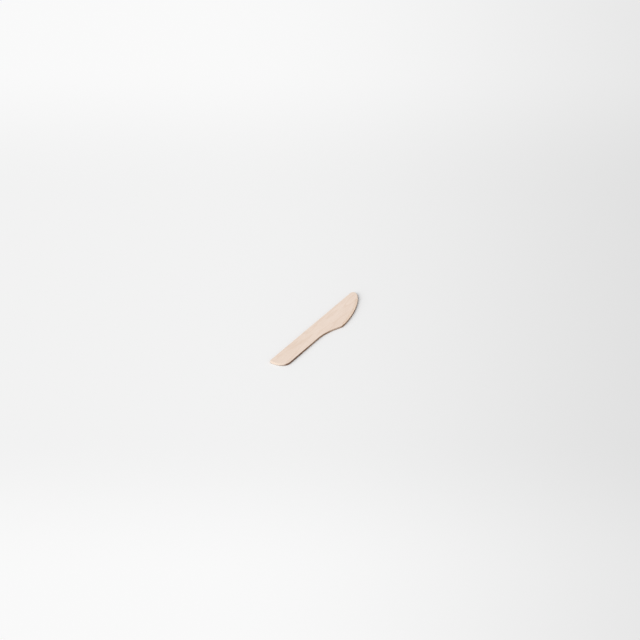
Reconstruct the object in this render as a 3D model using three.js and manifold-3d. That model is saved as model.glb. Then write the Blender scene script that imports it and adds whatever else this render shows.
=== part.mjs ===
// Wooden table knife cut from a sheet of three glued birch veneers. All sizes are in millimetres.
// +X runs from the butt to the tip, +Y points to the straight spine and +Z is up.
// The origin lies under the middle of the knife, on the surface that it rests on.

import * as THREE from "three";
import { mergeVertices } from "three/addons/utils/BufferGeometryUtils.js";
import Module from "manifold-3d";

// Main sizes of the plan: lengths start at the butt and widths at the spine
const knifeLength = 160;
const bladeWidth = 26.4;
const handleWidth = 18;
const heelFromButt = 94;
const shoulderFromButt = 60;

// Tip, and how far the cutting edge keeps its direction at each end of its sweep
const tipRadius = 3.2;
const edgePullAtTip = 8.3;
const edgePullAtHeel = 29.5;

// Shoulder curve between the heel and the handle
const heelPull = 3.6;
const shoulderPull = 20;

// Butt: a rounded corner at the spine, a short square end, and a slanted corner below it
const buttCornerRadius = 2.5;
const buttEndDepth = 7.2;
const buttSlantRun = 9;
const slantPullAtEnd = 3;
const slantPullAtHandle = 7;

// Layers of the sheet
const outerVeneer = 0.6;
const coreVeneer = 0.9;
const glueLine = 0.05;

// Rounding left by tumbling on every outer edge
const edgeEase = 0.4;
const edgeEaseSteps = 3;

// V-shaped notches milled across the upper face along the cutting edge, with a tooth between each two
const toothPitch = 2.2;
const notchWidth = 1.5;
const notchDepth = 0.9;
const notchLength = 3;
const plainEdgeAtHeel = 3;
const plainEdgeAtTip = 16;

// Facets
const curveSegments = 24;
const cutterSegments = 72;

// How far a cutting tool reaches past what it cuts
const overcut = 0.5;

const knifeThickness = 2 * outerVeneer + 2 * glueLine + coreVeneer;

const birchFace = { color: 0xead8c9, roughness: 0.72 };
const birchEndGrain = { color: 0x9c7b62, roughness: 0.85 };
const curedGlue = { color: 0x583c2a, roughness: 0.5 };

// The sheet, from the table up
const layers = [
  { name: "back_veneer", thickness: outerVeneer, finish: birchFace },
  { name: "lower_glue_line", thickness: glueLine, finish: curedGlue },
  { name: "core_veneer", thickness: coreVeneer, finish: birchEndGrain },
  { name: "upper_glue_line", thickness: glueLine, finish: curedGlue },
  { name: "face_veneer", thickness: outerVeneer, finish: birchFace },
];

const wasm = await Module();
wasm.setup();

// Closed three.js geometry as a solid that can be cut
function toSolid(geometry) {
  geometry.deleteAttribute("normal");
  geometry.deleteAttribute("uv");
  const welded = mergeVertices(geometry);
  return new wasm.Manifold(new wasm.Mesh({
    numProp: 3,
    vertProperties: welded.attributes.position.array,
    triVerts: Uint32Array.from(welded.index.array),
  }));
}

// Solid as a flat-shaded three.js geometry
function toGeometry(solid) {
  const { vertProperties, triVerts } = solid.getMesh();
  const indexed = new THREE.BufferGeometry();
  indexed.setAttribute("position", new THREE.BufferAttribute(vertProperties, 3));
  indexed.setIndex(new THREE.BufferAttribute(triVerts, 1));
  const geometry = indexed.toNonIndexed();
  geometry.computeVertexNormals();
  return geometry;
}

// Outline of the knife seen from above, with the curve of the cutting edge from tip to heel
function knifePlan() {
  const buttX = -knifeLength / 2;
  const tipX = knifeLength / 2;
  const heelX = buttX + heelFromButt;
  const shoulderX = buttX + shoulderFromButt;
  const spineY = bladeWidth / 2;
  const heelY = spineY - bladeWidth;
  const handleY = spineY - handleWidth;
  const tipRoundX = tipX - tipRadius;
  const tipRoundY = spineY - tipRadius;
  const cornerX = buttX + buttCornerRadius;
  const cornerY = spineY - buttCornerRadius;
  const endY = spineY - buttEndDepth;
  const slantX = buttX + buttSlantRun;

  const outline = new THREE.Shape();
  outline.moveTo(cornerX, spineY);
  outline.lineTo(tipRoundX, spineY);
  outline.absarc(tipRoundX, tipRoundY, tipRadius, Math.PI / 2, 0, true);
  outline.bezierCurveTo(tipX, tipRoundY - edgePullAtTip, heelX + edgePullAtHeel, heelY, heelX, heelY);
  const cuttingEdge = outline.curves.at(-1);
  outline.bezierCurveTo(heelX - heelPull, heelY, shoulderX + shoulderPull, handleY, shoulderX, handleY);
  outline.lineTo(slantX, handleY);
  outline.bezierCurveTo(slantX - slantPullAtHandle, handleY, buttX, endY - slantPullAtEnd, buttX, endY);
  outline.lineTo(buttX, cornerY);
  outline.absarc(cornerX, cornerY, buttCornerRadius, Math.PI, Math.PI / 2, true);
  return { outline, cuttingEdge };
}

// Blank stamped from the sheet, with its edges eased above and below
function knifeBlank(outline) {
  const blank = new THREE.ExtrudeGeometry(outline, {
    depth: knifeThickness - 2 * edgeEase,
    curveSegments,
    bevelSize: edgeEase,
    bevelThickness: edgeEase,
    bevelOffset: -edgeEase,
    bevelSegments: edgeEaseSteps,
  });
  return toSolid(blank.translate(0, 0, edgeEase));
}

// Milling disc with a V-shaped rim, whose lowest point leaves the floor of one notch
function notchCutter() {
  const rimRadius = (notchLength ** 2 + notchDepth ** 2) / (2 * notchDepth);
  const rimDepth = notchDepth + overcut;
  const halfWidth = (rimDepth * notchWidth) / 2 / notchDepth;
  const flankRadius = rimRadius - rimDepth;
  const boreRadius = flankRadius / 2;
  const profile = [
    new THREE.Vector2(boreRadius, -halfWidth),
    new THREE.Vector2(flankRadius, -halfWidth),
    new THREE.Vector2(rimRadius, 0),
    new THREE.Vector2(flankRadius, halfWidth),
    new THREE.Vector2(boreRadius, halfWidth),
    new THREE.Vector2(boreRadius, -halfWidth),
  ];
  const disc = new THREE.LatheGeometry(profile, cutterSegments);
  return { disc, axisHeight: knifeThickness - notchDepth + rimRadius };
}

// All notches along the cutting edge, each square to the edge where it crosses it
function serration(cuttingEdge) {
  const { disc, axisHeight } = notchCutter();
  const edgeLength = cuttingEdge.getLength();
  const serratedLength = edgeLength - plainEdgeAtHeel - plainEdgeAtTip;
  const teeth = Math.floor(serratedLength / toothPitch);
  const firstNotch = plainEdgeAtTip + (serratedLength - teeth * toothPitch) / 2;
  const down = new THREE.Vector3(0, 0, -1);
  const notches = [];
  for (let count = 0; count <= teeth; count += 1) {
    const along = (firstNotch + count * toothPitch) / edgeLength;
    const place = cuttingEdge.getPointAt(along);
    const heading = cuttingEdge.getTangentAt(along);
    const axle = new THREE.Vector3(heading.x, heading.y, 0);
    const pose = new THREE.Matrix4().makeBasis(axle.clone().cross(down), axle, down);
    pose.setPosition(place.x, place.y, axisHeight);
    notches.push(toSolid(disc.clone().applyMatrix4(pose)));
  }
  return notches.reduce((all, notch) => all.add(notch));
}

// Slab that reaches past the plan on every side, between two heights of the sheet
function layerSlab(low, high) {
  const slab = new THREE.BoxGeometry(knifeLength + 2 * overcut, bladeWidth + 2 * overcut, high - low);
  return toSolid(slab.translate(0, 0, (low + high) / 2));
}

function buildKnife() {
  const { outline, cuttingEdge } = knifePlan();
  const cutBlank = knifeBlank(outline).subtract(serration(cuttingEdge));
  const group = new THREE.Group();
  group.name = "wooden_knife";
  let low = 0;
  for (const { name, thickness, finish } of layers) {
    const high = low + thickness;
    const geometry = toGeometry(cutBlank.intersect(layerSlab(low, high)));
    const mesh = new THREE.Mesh(geometry, new THREE.MeshStandardMaterial({ ...finish, metalness: 0 }));
    mesh.name = name;
    group.add(mesh);
    low = high;
  }
  return group;
}

export default buildKnife();
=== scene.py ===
# Wooden table knife of three glued birch veneers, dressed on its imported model
import math
import random
from typing import NamedTuple

import bmesh
import bpy
from bpy.props import FloatProperty, FloatVectorProperty, IntProperty, PointerProperty
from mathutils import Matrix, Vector


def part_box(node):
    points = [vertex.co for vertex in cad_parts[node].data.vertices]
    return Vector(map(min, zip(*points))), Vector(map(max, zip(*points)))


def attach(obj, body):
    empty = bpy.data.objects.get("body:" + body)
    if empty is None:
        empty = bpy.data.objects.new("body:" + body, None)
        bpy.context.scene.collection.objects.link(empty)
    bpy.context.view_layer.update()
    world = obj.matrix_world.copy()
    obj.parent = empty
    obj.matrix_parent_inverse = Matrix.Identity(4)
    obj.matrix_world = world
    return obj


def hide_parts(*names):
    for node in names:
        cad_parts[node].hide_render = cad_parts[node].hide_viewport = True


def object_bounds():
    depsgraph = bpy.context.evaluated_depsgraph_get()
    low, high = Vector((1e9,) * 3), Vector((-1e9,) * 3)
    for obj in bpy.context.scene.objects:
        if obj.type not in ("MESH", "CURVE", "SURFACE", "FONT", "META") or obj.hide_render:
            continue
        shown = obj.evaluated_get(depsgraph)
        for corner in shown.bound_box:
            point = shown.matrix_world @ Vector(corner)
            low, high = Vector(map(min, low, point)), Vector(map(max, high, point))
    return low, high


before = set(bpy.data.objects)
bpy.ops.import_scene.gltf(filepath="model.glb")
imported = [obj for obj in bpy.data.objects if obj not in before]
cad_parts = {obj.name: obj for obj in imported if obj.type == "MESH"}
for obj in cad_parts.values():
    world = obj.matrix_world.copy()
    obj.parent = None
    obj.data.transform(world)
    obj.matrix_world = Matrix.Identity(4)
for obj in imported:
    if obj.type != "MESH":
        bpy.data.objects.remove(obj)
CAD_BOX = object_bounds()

bl_info = {
    "name": "Wooden Table Knife",
    "version": (1, 0, 0),
    "blender": (4, 5, 0),
    "location": "View3D > Sidebar > Knife",
    "description": "Builds a laminated birch table knife with a toothed edge, and a pale stage for it",
    "category": "Object",
}

MM = 0.001
QUARTER_TURN = math.pi / 2
BODY = "root"


# Property helpers


def size(name, description, millimetres):
    """Length property, written in millimetres and kept in metres."""
    return FloatProperty(
        name=name,
        description=description,
        default=millimetres * MM,
        min=0.0,
        unit="LENGTH",
        precision=5,
    )


def distance(name, description, metres):
    """Long length property, written and kept in metres."""
    return FloatProperty(name=name, description=description, default=metres, unit="LENGTH", precision=4)


def angle(name, description, degrees):
    """Angle property, written in degrees and kept in radians."""
    radians = math.radians(degrees)
    return FloatProperty(name=name, description=description, default=radians, unit="ROTATION")


def amount(name, description, default):
    """Plain number property."""
    return FloatProperty(name=name, description=description, default=default, precision=3)


def to_linear(level):
    """Linear light of a display level from 0 to 255, by the sRGB curve."""
    share = level / 255
    return share / 12.92 if share <= 0.04045 else ((share + 0.055) / 1.055) ** 2.4


def colour(name, description, red, green, blue):
    """Colour property, written in display levels and kept as linear light."""
    return FloatVectorProperty(
        name=name,
        description=description,
        default=(to_linear(red), to_linear(green), to_linear(blue), 1.0),
        size=4,
        min=0.0,
        max=1.0,
        subtype="COLOR",
    )


def node_extent(node, axis):
    """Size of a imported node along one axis, in millimetres."""
    low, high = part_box(node)
    return (high[axis] - low[axis]) / MM


# Settings


class KnifePlan(bpy.types.PropertyGroup):
    """Outline seen from above: lengths start at the butt and widths at the spine."""

    length: size("Length", "From the butt to the tip", node_extent("core_veneer", 0))
    blade_width: size("Blade width", "From the spine to the heel", node_extent("core_veneer", 1))
    handle_width: size("Handle width", "Across the straight handle", 18)
    heel: size("Heel", "From the butt to the widest place of the blade", 94)
    shoulder: size("Shoulder", "From the butt to where the handle starts to swell", 60)
    tip_radius: size("Tip radius", "Round between the spine and the cutting edge", 3.2)
    edge_pull_at_tip: size("Edge pull at tip", "How far the edge keeps its direction at the tip", 8.3)
    edge_pull_at_heel: size("Edge pull at heel", "How far the edge keeps its direction at the heel", 29.5)
    heel_pull: size("Heel pull", "How far the shoulder keeps its direction at the heel", 3.6)
    shoulder_pull: size("Shoulder pull", "How far the shoulder keeps its direction at the handle", 20)
    butt_corner: size("Butt corner", "Radius between the spine and the butt end", 2.5)
    butt_end: size("Butt end", "From the spine to where the butt starts to slant", 7.2)
    slant_run: size("Slant run", "Length of handle that the slanted butt corner takes", 9)
    slant_pull_at_end: size("Slant pull at end", "How far the slant keeps its direction at the end", 3)
    slant_pull_at_handle: size("Slant pull at handle", "How far it keeps its direction at the handle", 7)
    edge_ease: size("Edge ease", "Rounding that tumbling leaves on the outer edges", 0.4)
    glue_recess: size("Glue recess", "How far the glue lies behind the cut sides of the plies", 0.05)


class KnifeTeeth(bpy.types.PropertyGroup):
    """V-shaped notches milled across the upper face along the cutting edge."""

    pitch: size("Pitch", "From one notch to the next along the edge", 2.2)
    width: size("Notch width", "Across a notch in the upper face, at the edge", 1.5)
    depth: size("Notch depth", "Depth of a notch at the edge", 0.9)
    length: size("Notch length", "How far a notch reaches over the upper face", 3)
    plain_at_heel: size("Plain at heel", "Edge without teeth beside the heel", 3)
    plain_at_tip: size("Plain at tip", "Edge without teeth beside the tip", 16)
    rounding: size("Rounding", "Radius that tumbling leaves on a tooth", 0.1)
    unevenness: amount("Unevenness", "Share by which single notches differ in depth", 0.08)
    seed: IntProperty(name="Seed", description="Start of the uneven notches' random draws", default=7)


class BirchLook(bpy.types.PropertyGroup):
    """Colours of the wood and the glue, and the painted shade on the wood."""

    early: colour("Early wood", "Pale wood between the growth lines", 238, 221, 208)
    late: colour("Late wood", "Growth lines of the veneers", 223, 200, 181)
    pore: colour("Pores", "Short open pores along the grain", 196, 164, 138)
    outer_end: colour("Outer end grain", "Outer plies at the butt and the tip", 203, 189, 176)
    # The dark tones of the cut sides are partly the cut wood's own, end grain in the core, and partly
    # painted shade
    outer_side: colour("Outer sides", "Outer plies along the browned cut sides", 152, 112, 78)
    core_side: colour("Core side grain", "Core ply at the butt and the tip", 210, 198, 186)
    core_end: colour("Core end grain", "Core ply along the browned cut sides", 126, 88, 56)
    # The notch tone is partly cut end grain and partly painted shade in the notches
    notch: colour("Notches", "Flanks of the milled notches", 212, 191, 172)
    # Painted shade: this dark brown goes on the belly side towards the butt and on the underside's
    # rounded rim
    shade_painted: colour("Browned side", "Belly side of the handle, where it is browned most", 88, 45, 8)
    shade_painted_heading: angle("Browned heading", "Direction that the most browned sides face", -76)
    shade_painted_start: distance("Browned start", "Where the belly side starts to darken", -0.03)
    shade_painted_end: distance("Browned end", "Where the belly side is darkest", -0.07)
    glue: colour("Glue", "Cured glue between the plies", 92, 58, 34)


class StageLook(bpy.types.PropertyGroup):
    """Floor, light and camera. Places on the floor are measured from the camera's aim point."""

    floor: colour("Floor", "Pale floor under the knife", 242, 242, 242)
    floor_shade: colour("Floor in shade", "Floor at the right of the picture", 222, 222, 222)
    floor_span: distance("Floor span", "Side of the floor", 24)
    shade_start: distance("Shade start", "Where the floor starts to darken to the right", -0.16)
    shade_end: distance("Shade end", "Where the floor at the right is fully dark", 0.46)
    shade_fade: distance("Shade fade", "Where the dark floor starts to clear again", 0.36)
    shade_gone: distance("Shade gone", "Where the floor is clear again", 1.3)
    fan_front: distance("Fan front", "Where the shade stops narrowing in front", -0.45)
    fan_behind: distance("Fan behind", "Where the shade stops widening behind", 1.3)
    front_start: distance("Front start", "Where the floor in front starts to brighten", -0.2)
    front_end: distance("Front end", "Where the floor in front is fully bright", -0.38)
    behind_start: distance("Behind start", "Where the floor behind starts to brighten", 0.3)
    behind_end: distance("Behind end", "Where the floor behind is fully bright", 0.8)
    far_start: distance("Far start", "Where the floor starts to fade to the backdrop", 1.2)
    far_end: distance("Far end", "Where the floor has the backdrop's tone", 2.5)
    # Painted light on the floor in front and behind
    floor_painted_light: amount("Floor lift", "How much brighter the floor is in front and behind", 1.07)
    backdrop: colour("Backdrop", "Pale surroundings behind the floor", 246, 246, 246)
    sky: amount("Sky", "Strength of the even light from all round", 0.55)
    key: amount("Key", "Share of the floor's light that the key gives", 0.45)
    key_heading: angle("Key heading", "Direction of the key round the vertical, from the tip's side", 168)
    key_height: angle("Key height", "Height of the key above the horizon", 28)
    key_softness: angle("Key softness", "Apparent size of the key", 50)
    view_heading: angle("View heading", "Turn of the camera round the knife, from its edge", -59.27)
    view_height: angle("View height", "Height of the camera above the horizon", 30)
    view_distance: distance("View distance", "From the camera to its aim point", 1.2096)
    aim_along: size("Aim along", "Aim point towards the tip from the origin", 14.7)
    aim_across: size("Aim across", "Aim point towards the spine from the origin", 13.4)
    lens: amount("Lens", "Focal length in millimetres on a sensor 36 mm wide", 67.5)


class KnifeSettings(bpy.types.PropertyGroup):
    """All settings of the knife and its stage."""

    plan: PointerProperty(type=KnifePlan)
    teeth: PointerProperty(type=KnifeTeeth)
    birch: PointerProperty(type=BirchLook)
    stage: PointerProperty(type=StageLook)


# Outline


FEWEST_STEPS = 4
BEZIER_SAMPLES = 600


def line_points(start, end, step):
    """Points from start up to, but not including, end."""
    count = max(1, round((end - start).length / step))
    return [start.lerp(end, index / count) for index in range(count)]


def arc_points(centre, radius, start, sweep, step):
    """Points along an arc without its last one; angles in radians."""
    count = max(FEWEST_STEPS, round(abs(sweep) * radius / step))
    turns = [start + sweep * index / count for index in range(count)]
    return [centre + radius * Vector((math.cos(turn), math.sin(turn))) for turn in turns]


def bezier_point(curve, share):
    """Point of a cubic Bezier curve given as start, two handles and end."""
    start, first, second, end = curve
    rest = 1 - share
    return rest**3 * start + 3 * rest**2 * share * first + 3 * rest * share**2 * second + share**3 * end


def bezier_lengths(curve):
    """Running length of a cubic Bezier curve at even shares."""
    lengths = [0.0]
    last = curve[0]
    for index in range(1, BEZIER_SAMPLES + 1):
        point = bezier_point(curve, index / BEZIER_SAMPLES)
        lengths.append(lengths[-1] + (point - last).length)
        last = point
    return lengths


def share_at(lengths, along):
    """Share of a curve at a distance along it."""
    low = 0
    while low < BEZIER_SAMPLES - 1 and lengths[low + 1] < along:
        low += 1
    span = lengths[low + 1] - lengths[low]
    return (low + (along - lengths[low]) / span) / BEZIER_SAMPLES


def even_bezier_points(curve, step):
    """Points at even distances along a Bezier curve, without its last one."""
    lengths = bezier_lengths(curve)
    count = max(FEWEST_STEPS, round(lengths[-1] / step))
    return [bezier_point(curve, share_at(lengths, lengths[-1] * index / count)) for index in range(count)]


class Outline:
    """Closed outline of the knife, clockwise from above, and where the cutting edge lies on it."""

    STRAIGHT_STEP = 1.0 * MM
    CURVE_STEP = 0.45 * MM
    CORNER_STEP = 0.25 * MM
    COLUMNS_PER_TOOTH = 18
    # Share of a column's step that stays free before the heel
    FREE_AT_HEEL = 0.5
    # Keeps a stretch of whole pitches from losing its last tooth to rounding
    WHOLE_PITCH_MARGIN = 1e-6

    def __init__(self, plan, teeth):
        butt = -plan.length / 2
        tip = plan.length / 2
        spine = plan.blade_width / 2
        belly = spine - plan.blade_width
        handle = spine - plan.handle_width
        heel = butt + plan.heel
        shoulder = butt + plan.shoulder
        tip_centre = Vector((tip - plan.tip_radius, spine - plan.tip_radius))
        corner_centre = Vector((butt + plan.butt_corner, spine - plan.butt_corner))
        spine_start = Vector((corner_centre.x, spine))
        spine_end = Vector((tip_centre.x, spine))
        slant = Vector((butt + plan.slant_run, handle))
        end = Vector((butt, spine - plan.butt_end))

        cutting_edge = (
            Vector((tip, tip_centre.y)),
            Vector((tip, tip_centre.y - plan.edge_pull_at_tip)),
            Vector((heel + plan.edge_pull_at_heel, belly)),
            Vector((heel, belly)),
        )
        shoulder_curve = (
            Vector((heel, belly)),
            Vector((heel - plan.heel_pull, belly)),
            Vector((shoulder + plan.shoulder_pull, handle)),
            Vector((shoulder, handle)),
        )
        slant_curve = (
            slant,
            slant - Vector((plan.slant_pull_at_handle, 0)),
            end - Vector((0, plan.slant_pull_at_end)),
            end,
        )

        points = line_points(spine_start, spine_end, self.STRAIGHT_STEP)
        points += arc_points(tip_centre, plan.tip_radius, QUARTER_TURN, -QUARTER_TURN, self.CORNER_STEP)
        self.edge_start = len(points)
        lengths = bezier_lengths(cutting_edge)
        self.edge_steps = self.place_edge_columns(lengths[-1], teeth)
        points += [bezier_point(cutting_edge, share_at(lengths, step)) for step in self.edge_steps]
        points += even_bezier_points(shoulder_curve, self.CURVE_STEP)
        points += line_points(shoulder_curve[-1], slant, self.STRAIGHT_STEP)
        points += even_bezier_points(slant_curve, self.CURVE_STEP)
        points += line_points(end, Vector((butt, corner_centre.y)), self.CURVE_STEP)
        points += arc_points(corner_centre, plan.butt_corner, math.pi, -QUARTER_TURN, self.CORNER_STEP)
        self.points = points
        self.inward = [self.inward_at(index) for index in range(len(points))]

    def inward_at(self, index):
        """Unit vector into the knife, square to the outline."""
        ahead = self.points[(index + 1) % len(self.points)]
        heading = (ahead - self.points[index - 1]).normalized()
        return Vector((heading.y, -heading.x))

    def place_edge_columns(self, length, teeth):
        """Distances from the tip along the cutting edge, with columns on every notch and tooth."""
        toothed = length - teeth.plain_at_heel - teeth.plain_at_tip
        gaps = math.floor(toothed / teeth.pitch + self.WHOLE_PITCH_MARGIN)
        first = teeth.plain_at_tip + (toothed - gaps * teeth.pitch) / 2
        self.notches = [first + gap * teeth.pitch for gap in range(gaps + 1)]
        step = teeth.pitch / self.COLUMNS_PER_TOOTH
        before = math.floor(first / step)
        after = math.floor((length - self.notches[-1]) / step - self.FREE_AT_HEEL)
        between = gaps * self.COLUMNS_PER_TOOTH
        return [0.0] + [first + index * step for index in range(1 - before, between + after + 1)]


# Teeth


def soft_min(first, second, radius):
    """Smaller of two heights, lowered by up to a quarter of the radius where they meet."""
    overlap = max(radius - abs(first - second), 0.0) / radius
    return min(first, second) - overlap * overlap * radius / 4


class NotchCut:
    """Upper face after the notches have been milled, each by a disc with a V-shaped rim."""

    def __init__(self, notches, teeth, thickness):
        draw = random.Random(teeth.seed)
        self.notches = notches
        self.pitch = teeth.pitch
        self.thickness = thickness
        self.rounding = teeth.rounding
        self.slope = 2 * teeth.depth / teeth.width
        self.reach = teeth.length
        self.depths = [teeth.depth * (1 + draw.uniform(-1, 1) * teeth.unevenness) for notch in notches]
        self.low = notches[0] - teeth.width
        self.high = notches[-1] + teeth.width

    def one(self, index, inset, along):
        """Height that the disc of one notch leaves."""
        depth = self.depths[index]
        rim = (self.reach**2 + depth**2) / (2 * depth)
        aside = math.hypot(along - self.notches[index], self.rounding) - self.rounding
        radius = rim - aside * self.slope
        axle = self.thickness - depth + rim
        return axle - math.sqrt(max(radius**2 - inset**2, 0.0))

    def height(self, inset, along):
        """Height of the upper face at an inset from the edge and a distance along it."""
        nearest = round((along - self.notches[0]) / self.pitch)
        near = range(max(nearest - 1, 0), min(nearest + 2, len(self.notches)))
        uncut = 2 * self.thickness
        cut = min((self.one(index, inset, along) for index in near), default=uncut)
        return soft_min(cut, self.thickness + self.rounding / 4, self.rounding)

    def covers(self, along):
        """Whether a distance along the edge lies in the toothed stretch."""
        return self.low <= along <= self.high


# Knife body


FILLET_STEPS = 6
# Inset of the loop that bounds the flat faces where there are no notches
HOLD_INSET = 1.0 * MM
NOTCH_RING_STEP = 0.16 * MM
# How far the rings reach past the inner end of a notch
NOTCH_MARGIN = 0.5 * MM
CUT_TOLERANCE = 1e-8
SHARP_ANGLE = math.radians(32)


def rim_profile(ease):
    """Insets and drops of the tumbled rounding, from the wall to the flat face."""
    turns = [QUARTER_TURN * index / FILLET_STEPS for index in range(FILLET_STEPS + 1)]
    return [(ease * (1 - math.cos(turn)), ease * (1 - math.sin(turn))) for turn in turns]


def tooth_drop(inset, rounding):
    """How far the rounded outer edge of a notch falls below its floor."""
    rest = max(rounding - inset, 0.0)
    return rounding - math.sqrt(rounding**2 - rest**2)


def column_profile(ease, thickness, notches, along, rings):
    """Insets and heights of one cut through the rim, from the underside to the upper face."""
    rim = rim_profile(ease)
    lower = [(HOLD_INSET, 0.0)] + [(inset, drop) for inset, drop in reversed(rim)]
    upper = [(inset, thickness - drop) for inset, drop in rim] + [(ring, thickness) for ring in rings]
    if along is None:
        return lower + upper
    cut = []
    for inset, height in upper:
        notched = notches.height(inset, along) - tooth_drop(inset, notches.rounding)
        cut.append((inset, min(height, notched)))
    return lower + cut


def body_columns(body, settings, thickness, recess):
    """Columns of points round the outline, with more rings where the upper face is notched."""
    plan = settings.plan
    teeth = settings.teeth
    outline = Outline(plan, teeth)
    notches = NotchCut(outline.notches, teeth, thickness)
    ring_count = math.ceil((teeth.length + NOTCH_MARGIN - HOLD_INSET) / NOTCH_RING_STEP)
    notch_rings = [HOLD_INSET + index * NOTCH_RING_STEP for index in range(ring_count + 1)]
    edge_end = outline.edge_start + len(outline.edge_steps)
    columns = []
    for index, (point, inward) in enumerate(zip(outline.points, outline.inward)):
        along = None
        if outline.edge_start <= index < edge_end:
            step = outline.edge_steps[index - outline.edge_start]
            along = step if notches.covers(step) else None
        rings = [HOLD_INSET] if along is None else notch_rings
        profile = column_profile(plan.edge_ease, thickness, notches, along, rings)
        places = [(point + inward * (inset + recess), height) for inset, height in profile]
        columns.append([body.verts.new((place.x, place.y, height)) for place, height in places])
    return columns


def knife_body(settings, thickness, recess):
    """Closed mesh of the whole knife, drawn in by a recess, before it is parted into plies."""
    body = bmesh.new()
    columns = body_columns(body, settings, thickness, recess)
    plain_count = min(len(column) for column in columns)
    upper_loop = []
    for index, column in enumerate(columns):
        before = columns[index - 1]
        after = columns[(index + 1) % len(columns)]
        for row in range(min(len(column), len(after)) - 1):
            body.faces.new((column[row], after[row], after[row + 1], column[row + 1]))
        if len(column) == plain_count or len(before) == len(after):
            upper_loop.append(column[-1])
        elif len(before) == plain_count:
            upper_loop += column[plain_count - 1:]
        else:
            upper_loop += reversed(column[plain_count - 1:])
    body.faces.new(upper_loop)
    body.faces.new([column[0] for column in columns])
    bmesh.ops.recalc_face_normals(body, faces=body.faces)
    return body


def slice_ply(body, low, high, bottom, top):
    """Parts the body to what lies between two heights, closed with flat faces where it was cut."""
    for height, outwards, cut in ((low, -1, low > bottom), (high, 1, high < top)):
        if not cut:
            continue
        found = bmesh.ops.bisect_plane(
            body,
            geom=body.verts[:] + body.edges[:] + body.faces[:],
            dist=CUT_TOLERANCE,
            plane_co=(0, 0, height),
            plane_no=(0, 0, outwards),
            clear_outer=True,
        )
        rim = [item for item in found["geom_cut"] if isinstance(item, bmesh.types.BMEdge)]
        bmesh.ops.edgeloop_fill(body, edges=rim)
    bmesh.ops.recalc_face_normals(body, faces=body.faces)


def ply_object(name, ply):
    """Object of one ply, shaded smooth over its rounded edges only."""
    mesh = bpy.data.meshes.new(name)
    ply.to_mesh(mesh)
    ply.free()
    for polygon in mesh.polygons:
        polygon.use_smooth = True
    mesh.set_sharp_from_angle(angle=SHARP_ANGLE)
    piece = bpy.data.objects.new(name, mesh)
    bpy.context.scene.collection.objects.link(piece)
    return piece


def dress_layer(settings, node, piece_name, material, recess=0.0):
    """Makes the fine piece that stands for one packed layer."""
    low, high = (corner.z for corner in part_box(node))
    bottom = CAD_BOX[0][2]
    top = CAD_BOX[1][2]
    ply = knife_body(settings, top - bottom, recess)
    slice_ply(ply, low, high, bottom, top)
    piece = ply_object(piece_name, ply)
    piece.data.materials.append(material)
    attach(piece, BODY)
    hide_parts(node)


# Material helpers


PER_MM = (1 / MM, 1 / MM, 1 / MM)


def pointing(heading, height):
    """Unit vector at a heading round the vertical and a height above the horizon."""
    level = Vector((math.cos(heading), math.sin(heading), 0.0))
    return level * math.cos(height) + Vector((0.0, 0.0, math.sin(height)))


def new_material(name):
    """Node material with its tree and its Principled shader."""
    material = bpy.data.materials.new(name)
    material.use_nodes = True
    return material, material.node_tree, material.node_tree.nodes["Principled BSDF"]


def set_input(tree, socket, value):
    """Links a socket to another one, or sets its value."""
    if isinstance(value, bpy.types.NodeSocket):
        tree.links.new(value, socket)
    else:
        socket.default_value = value


def add_node(tree, kind, inputs, **settings):
    """Node of one kind with its settings, and its inputs by name or number."""
    node = tree.nodes.new(kind)
    for key, value in settings.items():
        setattr(node, key, value)
    for key, value in inputs.items():
        set_input(tree, node.inputs[key], value)
    return node


def calculate(tree, operation, first, second=0.0, third=0.0):
    """Result of one sum."""
    inputs = {0: first, 1: second, 2: third}
    return add_node(tree, "ShaderNodeMath", inputs, operation=operation).outputs[0]


def product(tree, first, second):
    """Two numbers multiplied."""
    return calculate(tree, "MULTIPLY", first, second)


def calculate_vector(tree, operation, first, second):
    """Result of one sum of vectors."""
    inputs = {0: first, 1: second}
    return add_node(tree, "ShaderNodeVectorMath", inputs, operation=operation).outputs[0]


def dot(tree, place, way):
    """How far a vector reaches along a unit vector."""
    return add_node(tree, "ShaderNodeVectorMath", {0: place, 1: way}, operation="DOT_PRODUCT").outputs[1]


def split(tree, vector):
    """Three parts of a vector."""
    return add_node(tree, "ShaderNodeSeparateXYZ", {0: vector}).outputs


def ramp(tree, value, low, high, to_low=0.0, to_high=1.0):
    """Value carried smoothly from one range to another; a falling ramp has its low above its high."""
    inputs = {0: value, 1: low, 2: high, 3: to_low, 4: to_high}
    return add_node(tree, "ShaderNodeMapRange", inputs, interpolation_type="SMOOTHSTEP").outputs[0]


def blend(tree, share, first, second):
    """Mix of two colours."""
    return add_node(tree, "ShaderNodeMix", {0: share, 6: first, 7: second}, data_type="RGBA").outputs[2]


def noise(tree, place, marks, detail=2.0, roughness=0.5):
    """Noise in the wood, given by its marks to the millimetre along, across and through the grain."""
    scaled = calculate_vector(tree, "MULTIPLY", place, marks)
    inputs = {"Vector": scaled, "Scale": 1.0, "Detail": detail, "Roughness": roughness}
    return add_node(tree, "ShaderNodeTexNoise", inputs).outputs["Fac"]


# Birch


# Ramps give where they start and end, and then what they lead from and to if that isn't 0 to 1

# Marks to the millimetre along, across and through the grain
FIGURE_MARKS = (0.012, 0.09, 0.3)
CLOUD_MARKS = (0.02, 0.05, 0.05)
FIBRE_MARKS = (0.05, 4.0, 4.0)
PORE_MARKS = (0.6, 9.0, 9.0)
SPECKLE_MARKS = (5.0, 7.0, 7.0)
PATCH_MARKS = (0.06, 0.06, 0.5)

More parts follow.
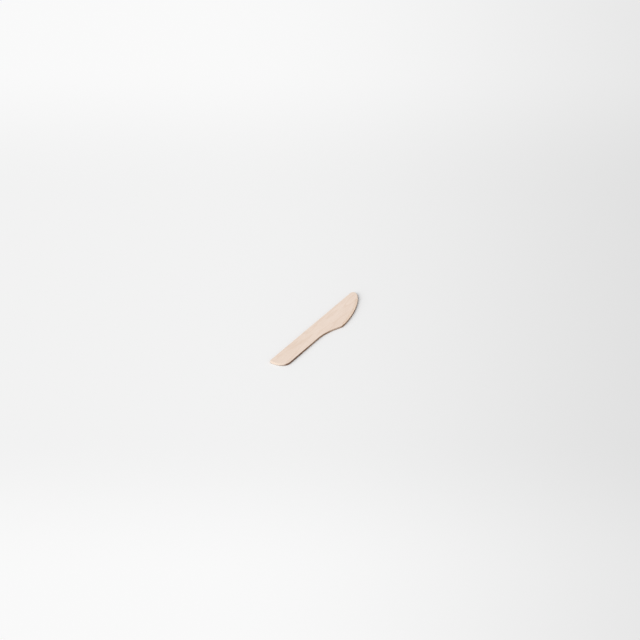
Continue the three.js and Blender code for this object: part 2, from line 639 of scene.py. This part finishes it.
# How the marks tint the flat faces
LINES_IN_FIGURE = 11.0
LINE_TINT = (0.62, 1.0, 0.0, 0.4)
FIBRE_TINT = (0.35, 0.7, 0.0, 0.4)
CLOUD_TINT = (0.35, 0.7, 0.0, 0.25)
PORE_OPENING = (0.66, 0.74)
PORE_TINT = 0.45

# Which way the cut surfaces face, as parts of their unit normals
BUTT_FACING = (0.25, 0.9)
BELLY_FACING = (0.2, -0.2)
RIM_FACING = (-0.1, -0.5)
RIM_FLATNESS = (0.99, 0.9)

# Notched stretch: how its flanks face upwards, and where it lies along and across the knife
NOTCH_STEEPER_THAN_FACE = (0.97, 0.8)
NOTCH_FLATTER_THAN_WALL = (0.2, 0.5)
NOTCHED_ALONG = (12 * MM, 16 * MM)
NOTCHED_ACROSS = (9 * MM, 5 * MM)

# How the cut surfaces are tinted: the depth and the spread of the painted shade on the belly side, then
# speckle and patches
PAINTED_SHADE_DEPTH = 0.9
PAINTED_SHADE_SPREAD = 0.3
BUTT_SPECKLE = (0.3, 0.7, 0.0, 0.3)
SIDE_SPECKLE = (0.3, 0.75, 0.0, 0.3)
PATCH_COVER = (0.3, 0.6, 0.8, 1.0)

# Surface of the bare wood
FIBRE_ROUGHNESS = (0.3, 0.7, 0.58, 0.74)
BIRCH_GLOSS = 0.1
FIBRE_RELIEF = 0.6
RELIEF_STRENGTH = 0.35
RELIEF_HEIGHT = 0.03 * MM


class Veneer(NamedTuple):
    """Turn of a veneer's grain, its place on the sheet in millimetres, and what counts as its sides."""

    turn: float
    place: tuple
    side_facing: tuple


FACE_VENEER = Veneer(turn=0.0, place=(0.0, 0.0, 0.0), side_facing=(0.55, 1.0))
# The back ply takes the dark side tone further round, onto the slanted butt: painted shade along the
# underside's edge
BACK_VENEER = Veneer(turn=0.0, place=(310.0, 47.0, 5.0), side_facing=(0.1, 0.55))
CORE_VENEER = Veneer(turn=QUARTER_TURN, place=(90.0, 120.0, 9.0), side_facing=(0.55, 1.0))


def side_shares(tree, birch, facing, along, side_facing):
    """How far a surface carries painted shade on the belly side towards the butt, and how far it takes
    the cut sides' tone.
    """
    to_belly = ramp(tree, facing[1], *BELLY_FACING)
    painted_shading = ramp(tree, along, birch.shade_painted_start, birch.shade_painted_end, 0.0, PAINTED_SHADE_DEPTH)
    painted_shading = product(tree, painted_shading, to_belly)
    # Faces towards the tip, away from the key beyond the butt, take a little more of the dark side tone:
    # painted shade
    way = pointing(birch.shade_painted_heading, 0.0)
    sideways = calculate(tree, "ABSOLUTE", facing[1])
    turned = product(tree, facing[0], way.x)
    turned = calculate(tree, "MULTIPLY_ADD", sideways, abs(way.y), turned)
    turned = calculate(tree, "MULTIPLY_ADD", painted_shading, PAINTED_SHADE_SPREAD, turned)
    return painted_shading, ramp(tree, turned, *side_facing)


def rim_shade_share(tree, facing):
    """How far a surface is the rounded rim of the underside, which takes painted shade."""
    flatness = calculate(tree, "ABSOLUTE", facing[2])
    return product(tree, ramp(tree, facing[2], *RIM_FACING), ramp(tree, flatness, *RIM_FLATNESS))


def notch_share(tree, facing, along, across):
    """How far a surface is the flank of a notch."""
    steep = ramp(tree, facing[2], *NOTCH_STEEPER_THAN_FACE)
    tilted = product(tree, steep, ramp(tree, facing[2], *NOTCH_FLATTER_THAN_WALL))
    notched = product(tree, ramp(tree, along, *NOTCHED_ALONG), ramp(tree, across, *NOTCHED_ACROSS))
    return product(tree, tilted, notched)


def face_tone(tree, birch, place, fibre, pores):
    """Colour of the flat faces: growth lines, fibre, broad clouds and pores."""
    late = tuple(birch.late)
    figure = noise(tree, place, FIGURE_MARKS)
    lines = calculate(tree, "PINGPONG", product(tree, figure, LINES_IN_FIGURE), 1.0)
    cloud = noise(tree, place, CLOUD_MARKS)
    tone = blend(tree, ramp(tree, lines, *LINE_TINT), tuple(birch.early), late)
    tone = blend(tree, ramp(tree, fibre, *FIBRE_TINT), tone, late)
    tone = blend(tree, ramp(tree, cloud, *CLOUD_TINT), tone, late)
    return blend(tree, product(tree, pores, PORE_TINT), tone, tuple(birch.pore))


def birch_material(name, birch, veneer, butt_tone, side_tone):
    """Bare birch of one veneer, with its own tones where the butt and the sides are cut, and painted
    shade on the belly side and the underside's rim.
    """
    material, tree, shader = new_material(name)
    where = add_node(tree, "ShaderNodeTexCoord", {}).outputs
    placing = {"Location": veneer.place, "Rotation": (0, 0, veneer.turn), "Scale": PER_MM}
    place = add_node(tree, "ShaderNodeMapping", {"Vector": where["Object"], **placing}).outputs[0]
    facing = split(tree, where["Normal"])
    along, across = split(tree, where["Object"])[:2]
    fibre = noise(tree, place, FIBRE_MARKS, detail=4.0, roughness=0.6)
    pores = ramp(tree, noise(tree, place, PORE_MARKS, detail=1.0), *PORE_OPENING)
    speckle = noise(tree, place, SPECKLE_MARKS)
    patches = noise(tree, place, PATCH_MARKS)

    pore = tuple(birch.pore)
    shade_painted = tuple(birch.shade_painted)
    painted_shading, to_side = side_shares(tree, birch, facing, along, veneer.side_facing)
    to_side = product(tree, to_side, ramp(tree, patches, *PATCH_COVER))
    to_butt = ramp(tree, calculate(tree, "ABSOLUTE", facing[0]), *BUTT_FACING)
    butt = blend(tree, ramp(tree, speckle, *BUTT_SPECKLE), tuple(butt_tone), pore)
    side = blend(tree, ramp(tree, speckle, *SIDE_SPECKLE), tuple(side_tone), pore)
    # Painted shade on the belly side towards the butt
    side = blend(tree, painted_shading, side, shade_painted)
    tone = face_tone(tree, birch, place, fibre, pores)
    tone = blend(tree, to_butt, tone, butt)
    # Notch flanks: partly cut end grain, partly painted shade
    tone = blend(tree, notch_share(tree, facing, along, across), tone, tuple(birch.notch))
    # Cut sides: partly the wood's own darker tone, partly painted shade
    tone = blend(tree, to_side, tone, side)
    # Painted shade on the underside's rounded rim, where it meets the floor
    tone = blend(tree, rim_shade_share(tree, facing), tone, shade_painted)
    tree.links.new(tone, shader.inputs["Base Color"])

    roughness = calculate(tree, "MAXIMUM", ramp(tree, fibre, *FIBRE_ROUGHNESS), to_side)
    tree.links.new(roughness, shader.inputs["Roughness"])
    shader.inputs["Specular IOR Level"].default_value = BIRCH_GLOSS
    relief = calculate(tree, "SUBTRACT", product(tree, fibre, FIBRE_RELIEF), pores)
    bumps = {"Strength": RELIEF_STRENGTH, "Distance": RELIEF_HEIGHT, "Height": relief}
    tree.links.new(add_node(tree, "ShaderNodeBump", bumps).outputs[0], shader.inputs["Normal"])
    return material


# Glue


SOAK_MARKS = (0.8, 0.8, 0.8)
SOAK_TINT = (0.3, 0.7)
SOAK_ROUGHNESS = (0.3, 0.7, 0.4, 0.65)


def glue_material(birch):
    """Thin cured glue, uneven where it soaks into the wood."""
    material, tree, shader = new_material("cured_wood_glue")
    where = add_node(tree, "ShaderNodeTexCoord", {}).outputs
    place = add_node(tree, "ShaderNodeMapping", {"Vector": where["Object"], "Scale": PER_MM}).outputs[0]
    soak = noise(tree, place, SOAK_MARKS, detail=3.0)
    tone = blend(tree, ramp(tree, soak, *SOAK_TINT), tuple(birch.glue), tuple(birch.core_end))
    tree.links.new(tone, shader.inputs["Base Color"])
    tree.links.new(ramp(tree, soak, *SOAK_ROUGHNESS), shader.inputs["Roughness"])
    return material


# Operators of the knife


class KNIFE_OT_outer_plies(bpy.types.Operator):
    """Build the face and back veneers, whose grain runs along the knife"""

    bl_idname = "wooden_knife.outer_plies"
    bl_label = "Build outer plies"

    def execute(self, context):
        settings = context.scene.wooden_knife
        birch = settings.birch
        cut_tones = (birch.outer_end, birch.outer_side)
        face = birch_material("birch_face_veneer", birch, FACE_VENEER, *cut_tones)
        back = birch_material("birch_back_veneer", birch, BACK_VENEER, *cut_tones)
        dress_layer(settings, "face_veneer", "face_ply", face)
        dress_layer(settings, "back_veneer", "back_ply", back)
        return {"FINISHED"}


class KNIFE_OT_core_ply(bpy.types.Operator):
    """Build the core veneer, whose grain runs across the knife"""

    bl_idname = "wooden_knife.core_ply"
    bl_label = "Build core ply"

    def execute(self, context):
        settings = context.scene.wooden_knife
        birch = settings.birch
        cut_tones = (birch.core_side, birch.core_end)
        core = birch_material("birch_core_veneer", birch, CORE_VENEER, *cut_tones)
        dress_layer(settings, "core_veneer", "core_ply", core)
        return {"FINISHED"}


class KNIFE_OT_glue_films(bpy.types.Operator):
    """Build the two glue films between the plies"""

    bl_idname = "wooden_knife.glue_films"
    bl_label = "Build glue films"

    def execute(self, context):
        settings = context.scene.wooden_knife
        recess = settings.plan.glue_recess
        glue = glue_material(settings.birch)
        dress_layer(settings, "upper_glue_line", "upper_glue_film", glue, recess)
        dress_layer(settings, "lower_glue_line", "lower_glue_film", glue, recess)
        return {"FINISHED"}


# Stage


SHADE_CURVE = 1.25
FLOOR_ROUGHNESS = 0.9
SENSOR_WIDTH = 36.0


def aim_point(look):
    """Place on the floor that the camera looks at."""
    return Vector((look.aim_along, look.aim_across, 0.0))


def shade_share(tree, look, right, depth):
    """How dark the floor's painted shade is: a shade at the right, which fans out with depth as the
    picture does.
    """
    widening = math.cos(look.view_height) / look.view_distance
    narrow = 1 + widening * look.fan_front
    wide = 1 + widening * look.fan_behind
    depths = {0: depth, 1: look.fan_front, 2: look.fan_behind, 3: narrow, 4: wide}
    fan = add_node(tree, "ShaderNodeMapRange", depths).outputs[0]
    aside = calculate(tree, "DIVIDE", right, fan)
    shade = calculate(tree, "POWER", ramp(tree, aside, look.shade_start, look.shade_end), SHADE_CURVE)
    return product(tree, shade, ramp(tree, aside, look.shade_gone, look.shade_fade))


def floor_material(look):
    """Pale floor with painted shade at the right, painted light in front and behind, and the backdrop's
    tone far away.
    """
    material, tree, shader = new_material("pale_floor")
    where = add_node(tree, "ShaderNodeTexCoord", {}).outputs["Object"]
    place = calculate_vector(tree, "SUBTRACT", where, aim_point(look))
    right = dot(tree, place, pointing(look.view_heading, 0.0))
    depth = dot(tree, place, pointing(look.view_heading + QUARTER_TURN, 0.0))
    shade = shade_share(tree, look, right, depth)
    tone = blend(tree, shade, tuple(look.floor), tuple(look.floor_shade))
    # Painted light: the floor brightens in front and behind
    front = ramp(tree, depth, look.front_start, look.front_end, 1.0, look.floor_painted_light)
    behind = ramp(tree, depth, look.behind_start, look.behind_end, 1.0, look.floor_painted_light)
    lift = {0: tone, "Scale": product(tree, front, behind)}
    tone = add_node(tree, "ShaderNodeVectorMath", lift, operation="SCALE").outputs[0]
    away = add_node(tree, "ShaderNodeVectorMath", {0: place}, operation="LENGTH").outputs[1]
    tone = blend(tree, ramp(tree, away, look.far_start, look.far_end), tone, tuple(look.backdrop))
    tree.links.new(tone, shader.inputs["Base Color"])
    shader.inputs["Roughness"].default_value = FLOOR_ROUGHNESS
    shader.inputs["Specular IOR Level"].default_value = 0.0
    return material


def make_floor(look):
    """Wide floor under the knife."""
    half = look.floor_span / 2
    mesh = bpy.data.meshes.new("floor")
    corners = [(-half, -half, 0), (half, -half, 0), (half, half, 0), (-half, half, 0)]
    mesh.from_pydata(corners, [], [(0, 1, 2, 3)])
    mesh.materials.append(floor_material(look))
    floor = bpy.data.objects.new("floor", mesh)
    bpy.context.scene.collection.objects.link(floor)


def make_sky(look):
    """Even light from all round, and the pale backdrop that the camera and reflections see."""
    world = bpy.data.worlds.new("studio")
    world.use_nodes = True
    tree = world.node_tree
    ray = add_node(tree, "ShaderNodeLightPath", {}).outputs
    seen = calculate(tree, "MAXIMUM", ray["Is Camera Ray"], ray["Is Glossy Ray"])
    seen = calculate(tree, "MAXIMUM", seen, ray["Is Transmission Ray"])
    sky = (look.sky, look.sky, look.sky, 1.0)
    tree.links.new(blend(tree, seen, sky, tuple(look.backdrop)), tree.nodes["Background"].inputs["Color"])
    bpy.context.scene.world = world


def make_key(look):
    """Soft key from beyond the butt, at the strength that gives its share of the floor's light."""
    lamp = bpy.data.lights.new("key", "SUN")
    lamp.energy = look.key * math.pi / math.sin(look.key_height)
    lamp.angle = look.key_softness
    key = bpy.data.objects.new("key", lamp)
    key.rotation_mode = "QUATERNION"
    key.rotation_quaternion = pointing(look.key_heading, look.key_height).to_track_quat("Z", "Y")
    bpy.context.scene.collection.objects.link(key)


def make_camera(look):
    """Camera at the photograph's viewing angle, for a square picture."""
    camera_data = bpy.data.cameras.new("camera")
    camera_data.lens = look.lens
    camera_data.sensor_width = SENSOR_WIDTH
    camera_data.sensor_fit = "HORIZONTAL"
    camera = bpy.data.objects.new("camera", camera_data)
    back = pointing(look.view_heading - QUARTER_TURN, look.view_height)
    camera.location = aim_point(look) + back * look.view_distance
    camera.rotation_mode = "QUATERNION"
    camera.rotation_quaternion = back.to_track_quat("Z", "Y")
    bpy.context.scene.collection.objects.link(camera)
    bpy.context.scene.camera = camera


class KNIFE_OT_stage(bpy.types.Operator):
    """Build the floor, the lights and the camera"""

    bl_idname = "wooden_knife.stage"
    bl_label = "Build stage"

    def execute(self, context):
        look = context.scene.wooden_knife.stage
        make_floor(look)
        make_sky(look)
        make_key(look)
        make_camera(look)
        context.scene.view_settings.view_transform = "Standard"
        return {"FINISHED"}


# Panel and registration


class KNIFE_PT_panel(bpy.types.Panel):
    """Sidebar list of the knife's settings and operators"""

    bl_idname = "KNIFE_PT_panel"
    bl_label = "Wooden Table Knife"
    bl_space_type = "VIEW_3D"
    bl_region_type = "UI"
    bl_category = "Knife"

    def draw(self, context):
        settings = context.scene.wooden_knife
        for group in (settings.plan, settings.teeth, settings.birch, settings.stage):
            box = self.layout.box()
            for key in group.__annotations__:
                box.prop(group, key)
        for operator in OPERATORS:
            self.layout.operator(operator.bl_idname)


GROUPS = (KnifePlan, KnifeTeeth, BirchLook, StageLook, KnifeSettings)
OPERATORS = (KNIFE_OT_stage, KNIFE_OT_outer_plies, KNIFE_OT_core_ply, KNIFE_OT_glue_films)
CLASSES = GROUPS + OPERATORS + (KNIFE_PT_panel,)


def register():
    """Adds the classes and the settings to Blender."""
    for cls in CLASSES:
        bpy.utils.register_class(cls)
    bpy.types.Scene.wooden_knife = PointerProperty(type=KnifeSettings)


def unregister():
    """Takes the settings and the classes out again."""
    del bpy.types.Scene.wooden_knife
    for cls in reversed(CLASSES):
        bpy.utils.unregister_class(cls)


def main():
    """Builds the stage and the knife."""
    register()
    bpy.ops.wooden_knife.stage()
    bpy.ops.wooden_knife.outer_plies()
    bpy.ops.wooden_knife.core_ply()
    bpy.ops.wooden_knife.glue_films()


if __name__ == "__main__":
    main()
